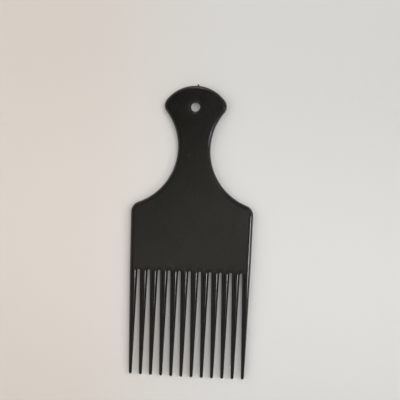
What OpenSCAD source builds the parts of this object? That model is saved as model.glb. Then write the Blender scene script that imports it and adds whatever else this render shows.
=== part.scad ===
/* [Overall] */

// Thickness of the plate; its outer edge is a full half round of this thickness
plate_t = 4.6; // [4:0.1:5.2]
// Length of the handle, from the root line of the teeth to the top of the fan
handle_len = 108.7; // [100:0.1:120]

/* [Fan end] */

// Radius of the arc across the top of the fan
fan_r = 21.3; // [19:0.1:24]
// Radius of the two corners of the fan
corner_r = 5.4; // [4:0.1:7]
// Length of the short straight below each corner
corner_straight = 1.2; // [0.4:0.1:4]
// Radius of the hanging hole's wall
hole_r = 2.6; // [2:0.1:4]
// Radius of the round that leads into the hanging hole from each face
hole_rim_r = 1.8; // [0.6:0.1:1.9]
// Distance of the hole's centre below the top of the fan
hole_down = 12.4; // [10:0.1:18]

/* [Gate mark] */

// Radius of the stub that the moulding gate left on the top edge
gate_r = 0.55; // [0.3:0.05:0.8]
// How far the stub stands out of the top edge
gate_out = 0.8; // [0.3:0.1:1.5]
// How far the stub is to the right of the centre line
gate_side = 1.2; // [0:0.1:3]

/* [Neck] */

// Radius of the hollow curve on each side of the neck
neck_r = 34.2; // [30:0.1:38]
// Length of the neck above its narrowest line, up to the grip
neck_above = 10.8; // [6:0.1:16]
// Length of the neck below its narrowest line, down to the shoulder
neck_below = 16.2; // [8:0.1:20]

/* [Blade] */

// Radius of the two shoulders
shoulder_r = 6.3; // [5:0.1:8]
// How far each shoulder stands out beyond the root of the outer tooth
shoulder_out = 0.424; // [0.2:0.004:2]

/* [Teeth] */

// Distance between the centre lines of two teeth
pitch = 6; // [5.6:0.05:6.6]
// Length of the middle teeth below the root line
tooth_len = 61.6; // [50:0.1:70]
// How much shorter the two outer teeth are than the middle ones
tip_sag = 0.35; // [0:0.05:1.5]
// Radius of the round tooth tip
tip_r = 0.92; // [0.5:0.02:1.2]

/* [Hidden] */

$fn = 96;

// One tooth for each of the twelve tooth nodes
teeth_n = 12;
// How far a cutting shape runs past the face that it cuts
overrun = 1;
// How far a cutting shape reaches out beside the outline that it leaves
reach = 2 * fan_r;
// Flat that stays between two rounded gap tops, where they come nearest each other
crest_w = 0.02;

// The plate's edge and the teeth have the same half round, so a tooth is as thick as the plate at its root
edge_r = plate_t / 2;
last_k = (teeth_n - 1) / 2;
root_half_w = last_k * pitch + edge_r;
// Each gap ends in a half round, and the plate's round edge runs round it too
gap_top_r = (pitch - crest_w) / 2 - edge_r;
shoulder_half_w = root_half_w + shoulder_out;

// The box of the whole comb is centred on the origin, so the root line lies a little below it
root_y = (tooth_len - handle_len - gate_out) / 2;
top_y = root_y + handle_len;
hole_y = top_y - hole_down;

// Directions, as unit vectors, in which one arc of the outline's right half runs into the next.
// They are sides of whole-number triangles, so that the centres and joints of the arcs are exact.
fan_to_corner = [0.8, 0.6];
corner_to_neck = [0.8, -0.6];
down_from_corner = [-0.6, -0.8];

// Centres of the arcs of the outline's right half, from the top down
fan_c = [0, top_y - fan_r];
corner_c = fan_c + (fan_r - corner_r) * fan_to_corner;
straight_end = corner_c + corner_straight * down_from_corner;
neck_c = straight_end + (corner_r + neck_r) * corner_to_neck;
grip_y = neck_c.y + neck_above;
neck_y = neck_c.y - neck_below;

// Each shoulder's arc touches the neck's arc, and stands as far out as the blade is wide
arcs_apart = neck_r + shoulder_r;
arcs_beside = neck_c.x - (shoulder_half_w - shoulder_r);
arcs_below = sqrt(arcs_apart * arcs_apart - arcs_beside * arcs_beside);
shoulder_c = [shoulder_half_w - shoulder_r, neck_c.y - arcs_below];
flare_angle = atan2(arcs_below, arcs_beside);

// The sides of the blade lean in slightly, from the shoulders to the outer teeth
blade_len = shoulder_c.y - root_y;
root_side = root_half_w - shoulder_c.x;
lean = asin(shoulder_r / norm([root_side, blade_len])) - atan2(root_side, blade_len);

plastic = [0.16, 0.155, 0.145];

module both_sides() {
    children();
    mirror([1, 0, 0]) children();
}

// Block of plate between two heights, from which the outline and its round edge are cut
module plate_block(half_w, low, high) {
    translate([-half_w, low, 0]) cube([2 * half_w, high - low, plate_t]);
}

// Section of all that lies outside the round edge of a bulging side, r away from its centre
module outside_section(r) {
    difference() {
        translate([r - edge_r, -overrun]) square([edge_r + reach, plate_t + 2 * overrun]);
        translate([r - edge_r, edge_r]) circle(edge_r);
    }
}

// What lies outside a bulging arc of the outline, within the directions that are given
module outside_arc(c, r, directions) {
    intersection() {
        translate([c.x, c.y, 0]) rotate_extrude() outside_section(r);
        translate([0, 0, -2 * overrun]) linear_extrude(plate_t + 4 * overrun)
            polygon(concat([c], [for (d = directions) c + (r + reach) * d]));
    }
}

// What lies outside a straight side that faces one way, from before a point to after it
module outside_straight(c, r, facing, before, after) {
    translate([c.x, c.y, 0])
        rotate([0, 0, atan2(facing.y, facing.x)])
            translate([0, before, 0]) rotate([90, 0, 0])
                linear_extrude(before + after) outside_section(r);
}

// What a hollow arc of the outline takes away, leaving the plate's edge round
module hollow_arc(r) {
    rotate_extrude() difference() {
        translate([0, -overrun]) square([r + edge_r, plate_t + 2 * overrun]);
        translate([r + edge_r, edge_r]) circle(edge_r);
    }
}

// What the hollow on the right side of the neck takes away
module neck_hollow() {
    translate([neck_c.x, neck_c.y, 0]) hollow_arc(neck_r);
}

// Through hole with a round rim at each face
module hang_hole() {
    translate([0, hole_y, 0])
        rotate_extrude() difference() {
            translate([0, -overrun]) square([hole_r + hole_rim_r, plate_t + 2 * overrun]);
            translate([hole_r + hole_rim_r, hole_rim_r]) circle(hole_rim_r);
            translate([hole_r + hole_rim_r, plate_t - hole_rim_r]) circle(hole_rim_r);
            translate([hole_r, hole_rim_r])
                square([hole_rim_r + overrun, plate_t - 2 * hole_rim_r]);
        }
}

module gate_stub() {
    translate([gate_side, top_y + gate_out, edge_r])
        rotate([90, 0, 0]) cylinder(r = gate_r, h = gate_out + edge_r);
}

// Fan-shaped end that is held in the hand, with the hole that it hangs by
module handle_grip() {
    up_half = [[1, 0], [1, 1], [-1, 1], [-1, 0]];
    corner = [corner_to_neck, corner_to_neck + fan_to_corner, fan_to_corner];
    color(plastic) difference() {
        union() {
            difference() {
                plate_block(corner_c.x + corner_r + overrun, grip_y, top_y + overrun);
                outside_arc(fan_c, fan_r, up_half);
                both_sides() {
                    outside_arc(corner_c, corner_r, corner);
                    outside_straight(straight_end, corner_r, corner_to_neck, reach, 0);
                    neck_hollow();
                }
            }
            gate_stub();
        }
        hang_hole();
    }
}

// Narrow part between the fan and the flare
module neck() {
    color(plastic) difference() {
        plate_block(neck_c.x, neck_y, grip_y);
        both_sides() neck_hollow();
    }
}

// Flare from the neck out to the two rounded shoulders; both arcs of a side are cut in a frame
// in which X runs from the shoulder's centre to the neck's centre, so that they touch exactly
module shoulder() {
    color(plastic) difference() {
        plate_block(shoulder_half_w + overrun, shoulder_c.y, neck_y);
        both_sides() translate([neck_c.x, neck_c.y, 0]) rotate([0, 0, flare_angle]) {
            hollow_arc(neck_r);
            outside_arc([-arcs_apart, 0], shoulder_r, [[1, 0], [1, -1], [0, -1]]);
        }
    }
}

// Solid band that carries the teeth, with the round top of each gap cut into its lower edge
module blade() {
    side = [cos(lean), -sin(lean)];
    color(plastic) difference() {
        plate_block(shoulder_half_w + overrun, root_y, shoulder_c.y);
        both_sides() outside_straight(shoulder_c, shoulder_r, side, reach, blade_len + reach);
        for (k = [1 : teeth_n - 1])
            translate([(k - teeth_n / 2) * pitch, root_y, 0]) hollow_arc(gap_top_r, $fn = 48);
    }
}

// Round tapered tooth; i counts from the left, and the tips lie on a very flat curve
module tooth(i) {
    k = i - 1 - last_k;
    nearest_k = (teeth_n % 2 == 0) ? 1 / 2 : 0;
    outer_share = (abs(k) - nearest_k) / (last_k - nearest_k);
    shank = tooth_len - tip_sag * outer_share * outer_share - tip_r;
    color(plastic) translate([k * pitch, root_y, edge_r]) {
        rotate([90, 0, 0]) cylinder(r1 = edge_r, r2 = tip_r, h = shank);
        translate([0, -shank, 0]) rotate([90, 0, 0]) sphere(tip_r);
    }
}

module tooth_01() { tooth(1); }
module tooth_02() { tooth(2); }
module tooth_03() { tooth(3); }
module tooth_04() { tooth(4); }
module tooth_05() { tooth(5); }
module tooth_06() { tooth(6); }
module tooth_07() { tooth(7); }
module tooth_08() { tooth(8); }
module tooth_09() { tooth(9); }
module tooth_10() { tooth(10); }
module tooth_11() { tooth(11); }
module tooth_12() { tooth(12); }

handle_grip();
neck();
shoulder();
blade();
tooth_01();
tooth_02();
tooth_03();
tooth_04();
tooth_05();
tooth_06();
tooth_07();
tooth_08();
tooth_09();
tooth_10();
tooth_11();
tooth_12();
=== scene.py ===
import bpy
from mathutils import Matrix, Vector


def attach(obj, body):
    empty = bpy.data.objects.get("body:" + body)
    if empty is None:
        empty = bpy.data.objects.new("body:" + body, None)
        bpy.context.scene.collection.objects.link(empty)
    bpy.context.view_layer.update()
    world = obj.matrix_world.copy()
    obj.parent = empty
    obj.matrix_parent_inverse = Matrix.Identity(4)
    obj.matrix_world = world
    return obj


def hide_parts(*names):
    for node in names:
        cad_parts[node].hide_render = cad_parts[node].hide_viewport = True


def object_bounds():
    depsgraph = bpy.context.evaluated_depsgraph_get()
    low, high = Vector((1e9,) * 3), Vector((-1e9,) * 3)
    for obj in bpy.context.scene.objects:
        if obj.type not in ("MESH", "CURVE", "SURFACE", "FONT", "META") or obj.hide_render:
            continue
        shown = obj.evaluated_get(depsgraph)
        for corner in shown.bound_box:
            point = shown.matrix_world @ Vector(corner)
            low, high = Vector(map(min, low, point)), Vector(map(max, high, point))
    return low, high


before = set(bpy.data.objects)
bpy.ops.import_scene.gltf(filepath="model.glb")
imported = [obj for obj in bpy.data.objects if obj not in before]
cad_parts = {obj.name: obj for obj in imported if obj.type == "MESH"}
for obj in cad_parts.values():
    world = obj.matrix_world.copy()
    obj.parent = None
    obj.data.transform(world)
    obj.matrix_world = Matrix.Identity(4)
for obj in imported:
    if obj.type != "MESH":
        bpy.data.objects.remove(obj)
cad_box = [list(corner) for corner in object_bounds()]

import math

import bmesh
import bpy
from mathutils import Matrix, Vector
from mathutils.geometry import delaunay_2d_cdt


# The plate: grip end, neck, shoulders and blade in one skin of black plastic.
# It is moulded in one shot. The two halves of the mould meet along the middle of its round edge,
# which leaves a thin parting line all the way round.

# Sizes are in millimetres, here and in the sections below, and the scene is in metres
mm = 0.001
plate_t = 4.6
handle_len = 108.7
fan_r = 21.3
corner_r = 5.4
corner_straight = 1.2
hole_r = 2.6
hole_rim_r = 1.8
hole_down = 12.4
neck_r = 34.2
shoulder_r = 6.3
shoulder_out = 0.424
pitch = 6.0
teeth_n = 12
crest_w = 0.02
gate_out = 0.8
parting_out = 0.035
parting_half_w = 0.09

# Longest distance between two places along each arc of the edge, and how many places the sides
# and the hole have; a round section has a point at every turn of this many degrees
fan_step = 0.7
corner_step = 0.3
neck_step = 0.9
gap_step = 0.35
side_parts = 12
hole_parts = 64
round_turn = 7.5

# The flat faces are cut into triangles over a net of points: how far these are from each other,
# from the edge's spine and from the hole. Triangles stay inside the borders, and points that lie
# this close together become one.
net_step = 2.0
net_clear = 1.2
net_hole_clear = 1.0
inside_borders = 1
merge_within = 0.0001


def toward(degrees):
    return Vector((math.cos(math.radians(degrees)), math.sin(math.radians(degrees))))


# The comb's box ends at the tip of the gate stub, which stands out of the top of the fan
edge_r = plate_t / 2
top_y = cad_box[1][1] / mm - gate_out
root_y = top_y - handle_len
root_half_w = (teeth_n - 1) / 2 * pitch + edge_r
gap_top_r = (pitch - crest_w) / 2 - edge_r
hole_centre = Vector((0.0, top_y - hole_down))

# Centres of the arcs down the right side; each arc touches the next. The fan gives way to its
# corner at one angle above the level, and the corner to the neck at the same angle below it.
corner_angle = math.degrees(math.atan2(3, 4))
fan_centre = Vector((0.0, top_y - fan_r))
corner_centre = fan_centre + (fan_r - corner_r) * toward(corner_angle)
straight_end = corner_centre + corner_straight * toward(-90 - corner_angle)
neck_centre = straight_end + (corner_r + neck_r) * toward(-corner_angle)
shoulder_x = root_half_w + shoulder_out - shoulder_r
shoulder_beside = neck_centre.x - shoulder_x
shoulder_below = math.sqrt((neck_r + shoulder_r) ** 2 - shoulder_beside ** 2)
shoulder_centre = Vector((shoulder_x, neck_centre.y - shoulder_below))
flare_angle = math.degrees(math.atan2(shoulder_below, shoulder_beside))

# The blade's sides lean in slightly, from the shoulders to the outer teeth
side_out = root_half_w - shoulder_x
side_down = shoulder_centre.y - root_y
side_lean = math.degrees(math.asin(shoulder_r / math.hypot(side_out, side_down))
                         - math.atan2(side_out, side_down))


def along_arc(centre, spine_r, start, end, outward, step):
    """Places along a curved edge: a point on the spine of the round edge, and the way it faces."""
    count = max(2, math.ceil(math.radians(abs(end - start)) * spine_r / step))
    places = []
    for i in range(count + 1):
        way = toward(start + (end - start) * i / count)
        places.append((centre + spine_r * way, outward * way))
    return places


def right_side():
    """The edge from the top of the fan down to the root of the outer tooth."""
    edge = along_arc(fan_centre, fan_r - edge_r, 90, corner_angle, 1, fan_step)
    edge += along_arc(corner_centre, corner_r - edge_r,
                      corner_angle, -corner_angle, 1, corner_step)[1:]
    straight_way = toward(-corner_angle)
    edge.append((straight_end + (corner_r - edge_r) * straight_way, straight_way))
    edge += along_arc(neck_centre, neck_r + edge_r,
                      180 - corner_angle, 180 + flare_angle, -1, neck_step)[1:]
    edge += along_arc(shoulder_centre, shoulder_r - edge_r,
                      flare_angle, -side_lean, 1, corner_step)[1:]
    top, side_way = edge[-1]
    root = Vector((root_half_w - edge_r, root_y))
    for i in range(1, side_parts):
        edge.append((top.lerp(root, i / side_parts), side_way))
    edge.append((root, Vector((1.0, 0.0))))
    return edge


def whole_edge():
    """Once round the plate, clockwise, with the round top of each gap between two teeth."""
    right = right_side()
    left = [(Vector((-p.x, p.y)), Vector((-way.x, way.y))) for p, way in reversed(right)][:-1]
    gaps = []
    for k in range(teeth_n - 1, 0, -1):
        centre = Vector(((k - teeth_n / 2) * pitch, root_y))
        gaps.append(along_arc(centre, gap_top_r + edge_r, 0, 180, -1, gap_step))
    return [right] + gaps + [left]


def tilted(way, angle):
    """The way a surface looks that faces sideways and is tilted up by an angle."""
    across = math.cos(math.radians(angle))
    return Vector((way.x * across, way.y * across, math.sin(math.radians(angle))))


class Skin:
    """The plate's mesh as it grows: points in millimetres, faces, and a normal at each corner."""

    def __init__(self):
        self.points = []
        self.faces = []
        self.normals = []

    def point(self, x, y, z):
        """Keep a point and give back its number."""
        self.points.append(Vector((x, y, z)))
        return len(self.points) - 1

    def face(self, corners, normals):
        """Keep a face, turned so that it looks the way its surface does."""
        a, b, c = (self.points[corner] for corner in corners[:3])
        if (b - a).cross(c - b).dot(sum(normals, Vector((0, 0, 0)))) < 0:
            corners = corners[::-1]
            normals = normals[::-1]
        self.faces.append(corners)
        self.normals.append(normals)

    def strips(self, here, there, way_here, way_there, tilts):
        """Keep the faces from one section's points to the next; tilts has two for each strip."""
        for j, (upper, lower) in enumerate(tilts):
            self.face([here[j], here[j + 1], there[j + 1], there[j]],
                      [tilted(way_here, upper), tilted(way_here, lower),
                       tilted(way_there, lower), tilted(way_there, upper)])


def edge_section():
    """Half round from the front face to the back, with the ridge of the parting line: the angle
    and radius of each point, and how far each strip between them is tilted at its two sides."""
    ridge = math.degrees(parting_half_w / edge_r)
    flank = math.degrees(math.atan2(parting_out, parting_half_w))
    upper = [90 - round_turn * i for i in range(round(90 / round_turn))] + [ridge]
    points = [(angle, edge_r) for angle in upper] + [(0, edge_r + parting_out)]
    points += [(-angle, edge_r) for angle in reversed(upper)]
    above = list(zip(upper, upper[1:]))
    below = [(-b, -a) for a, b in reversed(above)]
    return points, above + [(flank, flank), (-flank, -flank)] + below


def add_round_edge(skin, runs):
    """The plate's round edge. Gives back the points of the section at each place of each run."""
    section, tilts = edge_section()
    rings = []
    for run in runs:
        rings.append([])
        for p, way in run:
            ring = []
            for angle, r in section:
                out = r * math.cos(math.radians(angle))
                up = r * math.sin(math.radians(angle))
                ring.append(skin.point(p.x + way.x * out, p.y + way.y * out, edge_r + up))
            rings[-1].append(ring)
    for run, run_rings in zip(runs, rings):
        places = [(ring, way) for ring, (p, way) in zip(run_rings, run)]
        if run is runs[-1]:
            places.append((rings[0][0], runs[0][0][1]))
        for (here, way_here), (there, way_there) in zip(places, places[1:]):
            skin.strips(here, there, way_here, way_there, tilts)
    return rings


def add_tooth_roots(skin, rings):
    """The flat root of each tooth, where the tooth's own piece carries on."""
    for right, left in zip(rings, rings[1:]):
        corners = right[-1] + left[0][::-1]
        skin.face(corners, [Vector((0, -1, 0))] * len(corners))


def add_hole(skin):
    """The hanging hole, with a round rim at each face. Gives back the points of its sections."""
    upper = []
    for i in range(round(90 / round_turn) + 1):
        tilt = 90 + round_turn * i
        upper.append((hole_r + hole_rim_r + hole_rim_r * math.cos(math.radians(tilt)),
                      plate_t - hole_rim_r + hole_rim_r * math.sin(math.radians(tilt)), tilt))
    profile = upper + [(r, plate_t - z, -tilt) for r, z, tilt in reversed(upper)]
    tilts = [(a[2], b[2]) for a, b in zip(profile, profile[1:])]
    ways = [toward(360 * i / hole_parts) for i in range(hole_parts)]
    rings = []
    for way in ways:
        rings.append([skin.point(hole_centre.x + r * way.x, hole_centre.y + r * way.y, z)
                      for r, z, tilt in profile])
    for i in range(hole_parts):
        after = (i + 1) % hole_parts
        skin.strips(rings[i], rings[after], ways[i], ways[after], tilts)
    return rings


def inside(p, loop):
    """Whether a point lies inside a closed outline."""
    hit = False
    for a, b in zip(loop, loop[1:] + loop[:1]):
        if (a.y > p.y) != (b.y > p.y) and p.x < (b.x - a.x) * (p.y - a.y) / (b.y - a.y) + a.x:
            hit = not hit
    return hit


def net_points(loop):
    """Points spread evenly over the flat face, clear of the edge and of the hole."""
    half = math.floor((root_half_w + shoulder_out) / net_step)
    spread = []
    for row in range(math.ceil(root_y / net_step), math.ceil(top_y / net_step)):
        for column in range(-half, half + 1):
            p = Vector(((column + row % 2 / 2) * net_step, row * net_step))
            if (p - hole_centre).length < hole_r + hole_rim_r + net_hole_clear:
                continue
            if inside(p, loop) and min((p - q).length for q in loop) > net_clear:
                spread.append(p)
    return spread


def add_flat_faces(skin, runs, edge_rings, hole_rings):
    """The two flat faces, in triangles between the round edge and the rim of the hole."""
    loop = [p for run in runs for p, way in run]
    rim = [hole_centre + (hole_r + hole_rim_r) * toward(360 * i / hole_parts)
           for i in range(hole_parts)]
    border_rings = [ring for run in edge_rings for ring in run] + hole_rings
    borders = [(i, (i + 1) % len(loop)) for i in range(len(loop))]
    borders += [(len(loop) + i, len(loop) + (i + 1) % hole_parts) for i in range(hole_parts)]
    spots = loop + rim + net_points(loop)
    found, _, triangles, origins, _, _ = delaunay_2d_cdt(
        spots, borders, [], inside_borders, merge_within)

    # A triangle with all its corners on the rim would lie across the hole, so it is left out
    on_rim = [bool(origin) and len(loop) <= origin[0] < len(border_rings) for origin in origins]
    kept = [triangle for triangle in triangles if not all(on_rim[i] for i in triangle)]
    for end, z, up in ((0, plate_t, 1), (-1, 0.0, -1)):
        numbers = []
        for p, origin in zip(found, origins):
            if origin and origin[0] < len(border_rings):
                numbers.append(border_rings[origin[0]][end])
            else:
                numbers.append(skin.point(p.x, p.y, z))
        for triangle in kept:
            skin.face([numbers[i] for i in triangle], [Vector((0, 0, up))] * 3)


def put_in_scene(name, data):
    """A new object at the origin, linked to the scene."""
    made = bpy.data.objects.new(name, data)
    bpy.context.scene.collection.objects.link(made)
    return made


def make_plate():
    skin = Skin()
    runs = whole_edge()
    edge_rings = add_round_edge(skin, runs)
    add_tooth_roots(skin, edge_rings)
    hole_rings = add_hole(skin)
    add_flat_faces(skin, runs, edge_rings, hole_rings)
    mesh = bpy.data.meshes.new("comb_plate")
    mesh.from_pydata([p * mm for p in skin.points], [], skin.faces)
    mesh.shade_smooth()
    mesh.normals_split_custom_set([way.normalized() for face in skin.normals for way in face])
    return put_in_scene("comb_plate", mesh)


class Wiring:
    """Adds nodes to a tree, and gives each of their inputs a value or another node's output."""

    def __init__(self, tree):
        self.tree = tree

    def node(self, kind, inputs=None, **settings):
        made = self.tree.nodes.new(kind)
        for name, value in settings.items():
            setattr(made, name, value)
        self.join(made, inputs or {})
        return made

    def join(self, made, inputs):
        for name, value in inputs.items():
            if isinstance(value, bpy.types.NodeSocket):
                self.tree.links.new(value, made.inputs[name])
            else:
                made.inputs[name].default_value = value

    def math(self, operation, *values):
        inputs = dict(enumerate(values))
        return self.node("ShaderNodeMath", inputs, operation=operation).outputs["Value"]

    def between(self, value, low, high, to_low=0, to_high=1, **settings):
        """The value, with its range from low to high made to run from to_low to to_high."""
        inputs = {"Value": value, "From Min": low, "From Max": high,
                  "To Min": to_low, "To Max": to_high}
        return self.node("ShaderNodeMapRange", inputs, **settings).outputs["Result"]

    def blend_colours(self, share, colour_a, colour_b):
        inputs = {"Factor": share, "A": colour_a, "B": colour_b}
        return self.node("ShaderNodeMix", inputs, data_type="RGBA").outputs["Result"]


# The plastic is nearly black and a little warm, and varies faintly between two blacks
deep_black = (0.0068, 0.0062, 0.0050)
soft_black = (0.0094, 0.0087, 0.0072)
plastic_ior = 1.5
wave_depth = 0.04
grain_depth = 0.0015
rub_depth = 0.002
rub_roughness = 0.16

# Most of a noise lies between these two values; rubs show where two noises add up to more than
# the third value, and are full from the fourth
noise_low = 0.35
noise_high = 0.65
rubs_from = 1.26
rubs_full = 1.4


def black_plastic(name, smooth, rough, lightness=1, polish_along=(1, 1, 1)):
    """Black moulded plastic, with the mould's fine grain, a faint unevenness from cooling, and
    hairline rubs. Its roughness varies in patches from smooth to rough, lightness scales its two
    blacks, and polish_along scales the grain in X, Y and Z, to draw it out along the polishing."""
    material = bpy.data.materials.new(name)
    material.use_nodes = True
    wiring = Wiring(material.node_tree)
    place = wiring.node("ShaderNodeTexCoord").outputs["Object"]

    def noise(scale, detail, stretch=(1, 1, 1), turn=0.0):
        fit = wiring.node("ShaderNodeMapping",
                          {"Vector": place, "Scale": stretch, "Rotation": (0, 0, turn)})
        grain = wiring.node("ShaderNodeTexNoise",
                            {"Vector": fit.outputs["Vector"], "Scale": scale, "Detail": detail})
        return grain.outputs["Fac"]

    def bump(height, distance, under=None):
        inputs = {"Height": height, "Distance": distance * mm}
        if under:
            inputs["Normal"] = under
        return wiring.node("ShaderNodeBump", inputs).outputs["Normal"]

    clouds = wiring.between(noise(scale=70, detail=3), noise_low, noise_high)
    colour = wiring.blend_colours(clouds, [*(lightness * c for c in deep_black), 1],
                                  [*(lightness * c for c in soft_black), 1])

    # Rubs run mostly along the comb, in two directions that cross
    rubs = wiring.math("ADD", noise(scale=1, detail=1, stretch=(5200, 150, 5200), turn=0.5),
                       noise(scale=1, detail=1, stretch=(4300, 130, 4300), turn=-0.35))
    rub_lines = wiring.between(rubs, rubs_from, rubs_full)
    patches = wiring.between(noise(scale=140, detail=4), noise_low, noise_high, smooth, rough)
    roughness = wiring.math("MULTIPLY_ADD", rub_lines, rub_roughness, patches)

    skin = bump(noise(scale=95, detail=2), wave_depth)
    skin = bump(noise(scale=4200, detail=2, stretch=polish_along), grain_depth, skin)
    skin = bump(rub_lines, -rub_depth, skin)
    wiring.join(material.node_tree.nodes["Principled BSDF"],
                {"IOR": plastic_ior, "Base Color": colour, "Roughness": roughness, "Normal": skin})
    return material


comb_plate = make_plate()
comb_plate.data.materials.append(black_plastic("black_plate_plastic", smooth=0.17, rough=0.23))
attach(comb_plate, "root")
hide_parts("handle_grip", "neck", "shoulder", "blade")


# The twelve teeth: long round cones with ball tips, as thick as the plate where they start.
# They come out of the same shot. The parting line runs down both sides of each, and the
# smoother steel round them in the mould leaves them glossier than the plate.

tooth_len = 61.6
tip_sag = 0.35
tip_r = 0.92

# How many places there are down the shank and round the ball tip, and round the section
shank_places = 15
tip_places = 10
section_parts = 36

# The ball tip closes in a ring of this radius, and an edge that bends more than this stays sharp
closing_r = 0.002
sharp_angle = 50


def choose(wiring, test, yes, no):
    """One value where the test holds, and the other elsewhere."""
    chosen = wiring.math("MULTIPLY", test, yes)
    other = wiring.math("MULTIPLY", wiring.math("SUBTRACT", 1, test), no)
    return wiring.math("ADD", chosen, other)


def vector(wiring, x, y, z):
    return wiring.node("ShaderNodeCombineXYZ", {"X": x, "Y": y, "Z": z}).outputs["Vector"]


def tooth_line(wiring, given):
    """The line down the middle of one tooth, with the tooth's radius kept at each place."""
    calculate = wiring.math
    step = wiring.node("GeometryNodeInputIndex").outputs["Index"]
    on_shank = calculate("LESS_THAN", step, shank_places - 0.5)
    shank = calculate("SUBTRACT", given["Length"], given["Tip radius"])
    share = calculate("DIVIDE", step, shank_places - 1)
    past_shank = calculate("SUBTRACT", step, shank_places - 1)
    turn = calculate("MULTIPLY", past_shank, math.pi / 2 / tip_places)
    beyond = calculate("MULTIPLY", given["Tip radius"], calculate("SINE", turn))
    along = choose(wiring, on_shank,
                   calculate("MULTIPLY", share, shank), calculate("ADD", shank, beyond))

    narrowing = calculate("SUBTRACT", given["Root radius"], given["Tip radius"])
    cone = calculate("SUBTRACT", given["Root radius"], calculate("MULTIPLY", share, narrowing))
    ball = calculate("MULTIPLY", given["Tip radius"], calculate("COSINE", turn))
    girth = calculate("MAXIMUM", choose(wiring, on_shank, cone, ball), closing_r * mm)

    line = wiring.node("GeometryNodeMeshLine", {"Count": shank_places + tip_places})
    kept = wiring.node("GeometryNodeStoreNamedAttribute",
                       {"Geometry": line.outputs["Mesh"], "Name": "girth", "Value": girth},
                       data_type="FLOAT", domain="POINT")
    laid = wiring.node("GeometryNodeSetPosition",
                       {"Geometry": kept.outputs["Geometry"],
                        "Position": vector(wiring, 0, calculate("MULTIPLY", along, -1), 0)})
    curve = wiring.node("GeometryNodeMeshToCurve", {"Mesh": laid.outputs["Geometry"]})
    return curve.outputs["Curve"]


def tooth_section(wiring, given):
    """The round section of a tooth, a hair wider at its two sides, where the mould parts."""
    step = wiring.node("GeometryNodeInputIndex").outputs["Index"]
    from_side = wiring.math("MODULO", step, section_parts // 2)
    wide = choose(wiring, wiring.math("LESS_THAN", from_side, 0.5), given["Parting line"], 1)
    place = wiring.node("GeometryNodeInputPosition").outputs["Position"]
    ridge = wiring.node("ShaderNodeVectorMath", {"Vector": place, "Scale": wide},
                        operation="SCALE")
    circle = wiring.node("GeometryNodeCurvePrimitiveCircle",
                         {"Resolution": section_parts, "Radius": 1})
    section = wiring.node("GeometryNodeSetPosition", {"Geometry": circle.outputs["Curve"],
                                                      "Position": ridge.outputs["Vector"]})
    return section.outputs["Geometry"]


def tooth_places(wiring, given):
    """A point at each tooth's root, and how much of the full length each tooth has."""
    calculate = wiring.math
    last = calculate("DIVIDE", calculate("SUBTRACT", given["Teeth"], 1), 2)
    half_row = calculate("MULTIPLY", last, given["Pitch"])
    start = vector(wiring, calculate("MULTIPLY", half_row, -1), given["Root height"],
                   given["Middle"])
    row = wiring.node("GeometryNodeMeshLine",
                      {"Count": given["Teeth"], "Start Location": start,
                       "Offset": vector(wiring, given["Pitch"], 0, 0)})

    # The teeth are shorter by the sag towards both ends of the row
    step = wiring.node("GeometryNodeInputIndex").outputs["Index"]
    off_centre = calculate("ABSOLUTE", calculate("SUBTRACT", step, last))
    outer = calculate("DIVIDE", calculate("SUBTRACT", off_centre, 0.5),
                      calculate("SUBTRACT", last, 0.5))
    cut = calculate("MULTIPLY", given["Sag"], calculate("MULTIPLY", outer, outer))
    shrink = calculate("SUBTRACT", 1, calculate("DIVIDE", cut, given["Length"]))
    return row.outputs["Mesh"], shrink


def tooth_row_tree():
    """Geometry Nodes tree of the row, and the identifier of each of its named inputs."""
    tree = bpy.data.node_groups.new("tooth_row", "GeometryNodeTree")
    kinds = {"Teeth": "NodeSocketInt", "Finish": "NodeSocketMaterial"}
    names = {}
    for name in ("Teeth", "Pitch", "Length", "Sag", "Root radius", "Tip radius", "Root height",
                 "Middle", "Parting line", "Finish"):
        socket = tree.interface.new_socket(name, in_out="INPUT",
                                           socket_type=kinds.get(name, "NodeSocketFloat"))
        names[name] = socket.identifier
    tree.interface.new_socket("Geometry", in_out="OUTPUT", socket_type="NodeSocketGeometry")

    wiring = Wiring(tree)
    given = wiring.node("NodeGroupInput").outputs
    girth = wiring.node("GeometryNodeInputNamedAttribute", {"Name": "girth"}, data_type="FLOAT")
    tooth = wiring.node("GeometryNodeCurveToMesh",
                        {"Curve": tooth_line(wiring, given),
                         "Profile Curve": tooth_section(wiring, given),
                         "Scale": girth.outputs["Attribute"], "Fill Caps": True})
    points, shrink = tooth_places(wiring, given)
    row = wiring.node("GeometryNodeInstanceOnPoints",
                      {"Points": points, "Instance": tooth.outputs["Mesh"],
                       "Scale": vector(wiring, 1, shrink, 1)})
    real = wiring.node("GeometryNodeRealizeInstances", {"Geometry": row.outputs["Instances"]})
    finished = wiring.node("GeometryNodeSetMaterial",
                           {"Geometry": real.outputs["Geometry"], "Material": given["Finish"]})
    wiring.node("NodeGroupOutput", {"Geometry": finished.outputs["Geometry"]})
    return tree, names


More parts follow.
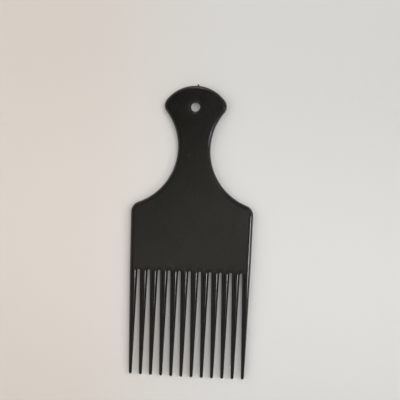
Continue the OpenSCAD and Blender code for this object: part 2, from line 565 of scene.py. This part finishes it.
def make_teeth():
    tree, names = tooth_row_tree()
    given = {"Teeth": teeth_n, "Pitch": pitch * mm, "Length": tooth_len * mm,
             "Sag": tip_sag * mm, "Root radius": edge_r * mm, "Tip radius": tip_r * mm,
             "Root height": root_y * mm, "Middle": edge_r * mm,
             "Parting line": 1 + parting_out / edge_r,
             # The teeth's two blacks are six tenths of the plate's: painted shade on the same
             # plastic
             "Finish": black_plastic("black_tooth_plastic", smooth=0.08, rough=0.13, lightness=0.6,
                                     polish_along=(1, 0.25, 1))}
    holder = put_in_scene("comb_teeth_maker", bpy.data.meshes.new("comb_teeth_maker"))
    modifier = holder.modifiers.new("tooth_row", "NODES")
    modifier.node_group = tree
    for name, value in given.items():
        modifier[names[name]] = value
    ready = holder.evaluated_get(bpy.context.evaluated_depsgraph_get())
    mesh = bpy.data.meshes.new_from_object(ready)
    bpy.data.objects.remove(holder)
    mesh.name = "comb_teeth"
    shape = bmesh.new()
    shape.from_mesh(mesh)
    bmesh.ops.remove_doubles(shape, verts=shape.verts, dist=0.001 * mm)
    bmesh.ops.recalc_face_normals(shape, faces=shape.faces)
    for face in shape.faces:
        face.smooth = True
    for edge in shape.edges:
        edge.smooth = edge.calc_face_angle(0) < math.radians(sharp_angle)
    shape.to_mesh(mesh)
    shape.free()
    return put_in_scene("comb_teeth", mesh)


comb_teeth = make_teeth()
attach(comb_teeth, "root")
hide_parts(*[f"tooth_{i:02d}" for i in range(1, teeth_n + 1)])


# The gate stub: the short nib left on the top edge, where the plastic came into the mould.
# It is snapped off by hand, so its end is torn, a little domed and matt.

gate_side = 1.2
gate_r = 0.55
gate_parts = 24

# Height above the top edge, and how much wider than its middle the stub is there
gate_profile = [(-1.15, 0.09), (-0.15, 0.05), (0.05, 0.015), (0.35, 0), (0.63, -0.01),
                (0.75, -0.11), (gate_out, -0.33)]
torn_from = 0.65
torn_coarse = 0.05
torn_fine = 0.03


def make_gate_stub():
    shape = bmesh.new()
    rings = []
    for height, wider in gate_profile:
        r = gate_r + wider
        ring = []
        for i in range(gate_parts):
            a = math.tau * i / gate_parts
            torn = 0.0
            if height > torn_from:
                torn = torn_coarse * math.sin(3 * a + 1) + torn_fine * math.sin(7 * a)
            spot = Vector((gate_side + r * math.cos(a), top_y + min(gate_out, height + torn),
                           edge_r + r * math.sin(a)))
            ring.append(shape.verts.new(spot * mm))
        rings.append(ring)
    for low, high in zip(rings, rings[1:]):
        for i in range(gate_parts):
            after = (i + 1) % gate_parts
            shape.faces.new((low[i], low[after], high[after], high[i]))
    shape.faces.new(rings[0])
    shape.faces.new(rings[-1])
    bmesh.ops.recalc_face_normals(shape, faces=shape.faces)
    for face in shape.faces:
        face.smooth = True
    mesh = bpy.data.meshes.new("gate_stub")
    shape.to_mesh(mesh)
    shape.free()
    return put_in_scene("gate_stub", mesh)


gate_stub = make_gate_stub()
gate_stub.data.materials.append(black_plastic("black_torn_plastic", smooth=0.45, rough=0.6,
                                              lightness=1.2))
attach(gate_stub, "root")
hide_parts("handle_grip")


# The table that the comb lies on: a plain pale sheet, whose left side is tinted a little warmer and
# darker as painted warm light.
# It is matt paper, and part of its colour glows as painted light, which keeps its shadows light.

table_half_w = 3000
# The left colour is painted warm light; it turns into the plain right colour between the two places
# across the table
paper_left = (0.700, 0.642, 0.594, 1)
paper_right = (0.704, 0.700, 0.684, 1)
warm_to = -85
plain_from = 30
# Share of the paper's colour that glows as painted light in the shadows
painted_shadow_lift = 0.12


def make_table():
    shape = bmesh.new()
    bmesh.ops.create_grid(shape, x_segments=1, y_segments=1, size=table_half_w * mm)
    mesh = bpy.data.meshes.new("table")
    shape.to_mesh(mesh)
    shape.free()
    material = bpy.data.materials.new("pale_table")
    material.use_nodes = True
    nodes = material.node_tree.nodes
    wiring = Wiring(material.node_tree)
    place = wiring.node("ShaderNodeTexCoord").outputs["Object"]
    across = wiring.node("ShaderNodeSeparateXYZ", {"Vector": place}).outputs["X"]
    right_share = wiring.between(across, warm_to * mm, plain_from * mm,
                                 interpolation_type="SMOOTHSTEP")
    paper = wiring.blend_colours(right_share, paper_left, paper_right)
    wiring.join(nodes["Principled BSDF"],
                {"Base Color": paper, "Roughness": 0.7, "Specular IOR Level": 0.2})

    # Part of the pale colour glows for camera and mirror rays: painted light that keeps the shadows
    # light
    pale = wiring.node("ShaderNodeEmission", {"Color": paper})
    ray = wiring.node("ShaderNodeLightPath").outputs
    seen = wiring.math("MAXIMUM", ray["Is Camera Ray"], ray["Is Glossy Ray"])
    blend = wiring.node("ShaderNodeMixShader",
                        {"Fac": wiring.math("MULTIPLY", seen, painted_shadow_lift),
                         1: nodes["Principled BSDF"].outputs["BSDF"],
                         2: pale.outputs["Emission"]})
    wiring.join(nodes["Material Output"], {"Surface": blend.outputs["Shader"]})
    mesh.materials.append(material)
    return put_in_scene("table", mesh)


table = make_table()


# Plain soft light. Two large lamps light the table: one high at the upper right, and a wider one
# on the left that fills the shadows. Two small ones make the thin highlights on the teeth and on
# the blade's right edge, and one beyond the grip end lightens the top of the fan.

def soft_lamp(name, size, power, way, tilt, aim=(0, 0, 0), away=1, spread=180):
    """A lamp that looks at its aim from some metres away; way is its compass angle, tilt its
    angle from upright, and spread how wide its light fans out."""
    light = bpy.data.lights.new(name, "AREA")
    light.shape = "RECTANGLE"
    light.size, light.size_y = size
    light.energy = power
    light.spread = math.radians(spread)
    lamp = put_in_scene(name, light)
    aim = Vector(aim)
    place = aim + away * tilted(toward(way), 90 - tilt)
    looks = (aim - place).to_track_quat("-Z", "Y").to_matrix().to_4x4()
    lamp.matrix_world = Matrix.Translation(place) @ looks
    return lamp


high_lamp = soft_lamp("lamp_high", size=(1.4, 1.3), power=24.5, way=30, tilt=30, away=2.5)
left_lamp = soft_lamp("lamp_left", size=(2.4, 2.0), power=24, way=178, tilt=50, away=2.5)
soft_lamp("lamp_teeth", size=(0.1, 0.28), power=0.018, way=-9.5, tilt=52,
          aim=(0, -0.033, 0), spread=16)
soft_lamp("lamp_blade", size=(0.1, 0.28), power=0.021, way=-5, tilt=54,
          aim=(0.033, -0.012, 0), spread=16)
soft_lamp("lamp_beyond", size=(0.38, 0.5), power=1.3, way=91, tilt=58, aim=(0, 0.08, 0))

# The plastic does not mirror the two large lamps, only the room and the small ones
high_lamp.visible_glossy = False
left_lamp.visible_glossy = False


# The room: pale walls, and a ceiling that is dim except for one pale band across it.
# It lights the comb faintly from all sides, and the black plastic mirrors it.

# Places along the ceiling, from its upper left end to its lower right end, and how light it is
ceiling_run = (0.64, -0.77, 0.0)
ceiling_levels = [(0.0, 0.3), (0.34, 0.05), (0.44, 0.02), (0.49, 0.6), (0.53, 1.0),
                  (0.565, 0.2), (1.0, 0.35)]
ceiling_warmth = (1, 0.95, 0.86)
wall_pale = (0.55, 0.54, 0.53, 1)

# The ceiling is above the first height and the walls are below the second, on a sphere of radius 1
ceiling_above = 0.85
walls_below = 0.3


def make_room():
    room = bpy.data.worlds.new("plain_room")
    room.use_nodes = True
    nodes = room.node_tree.nodes
    wiring = Wiring(room.node_tree)
    way = wiring.node("ShaderNodeTexCoord").outputs["Generated"]
    along = wiring.node("ShaderNodeVectorMath", {0: way, 1: ceiling_run}, operation="DOT_PRODUCT")
    ceiling = wiring.node("ShaderNodeValToRGB",
                          {"Fac": wiring.between(along.outputs["Value"], -1, 1)})
    elements = ceiling.color_ramp.elements
    while len(elements) < len(ceiling_levels):
        elements.new(0.5)
    for element, (position, level) in zip(elements, ceiling_levels):
        element.position = position
        element.color = [*(level * warmth for warmth in ceiling_warmth), 1]

    height = wiring.node("ShaderNodeSeparateXYZ", {"Vector": way}).outputs["Z"]
    wall_share = wiring.between(height, ceiling_above, walls_below, interpolation_type="SMOOTHSTEP")
    wiring.join(nodes["Background"], {
        "Color": wiring.blend_colours(wall_share, ceiling.outputs["Color"], wall_pale)})

    # Past the table's edge the camera sees plain paper
    backdrop = wiring.node("ShaderNodeBackground", {"Color": paper_right})
    ray = wiring.node("ShaderNodeLightPath").outputs
    blend = wiring.node("ShaderNodeMixShader",
                        {"Fac": ray["Is Camera Ray"], 1: nodes["Background"].outputs["Background"],
                         2: backdrop.outputs["Background"]})
    wiring.join(nodes["World Output"], {"Surface": blend.outputs["Shader"]})
    return room


bpy.context.scene.world = make_room()


# The camera: almost straight above the comb, leaning a little towards its lower right.
# Its place and angles were fitted to the comb's outline.

sensor_w = 36
focal_length = 69.57

# The angles that turn the comb as the camera sees it, and where its middle lies from the eye
tilt = Matrix.Rotation(math.radians(1.5395), 3, "X")
roll = Matrix.Rotation(math.radians(-4.0), 3, "Y")
turn = Matrix.Rotation(math.radians(-2.0955), 3, "Z")
comb_from_eye = Vector((-0.00514693, -0.01839620, -0.45092392))

eye = bpy.data.cameras.new("camera")
eye.sensor_fit = "HORIZONTAL"
eye.sensor_width = sensor_w
eye.lens = focal_length
camera = put_in_scene("camera", eye)
looks = (tilt @ roll @ turn).transposed()
stands = looks @ -comb_from_eye + Vector((0, 0, edge_r * mm))
camera.matrix_world = Matrix.Translation(stands) @ looks.to_4x4()
bpy.context.scene.camera = camera

# Colours are shown as they are written
bpy.context.scene.view_settings.view_transform = "Standard"
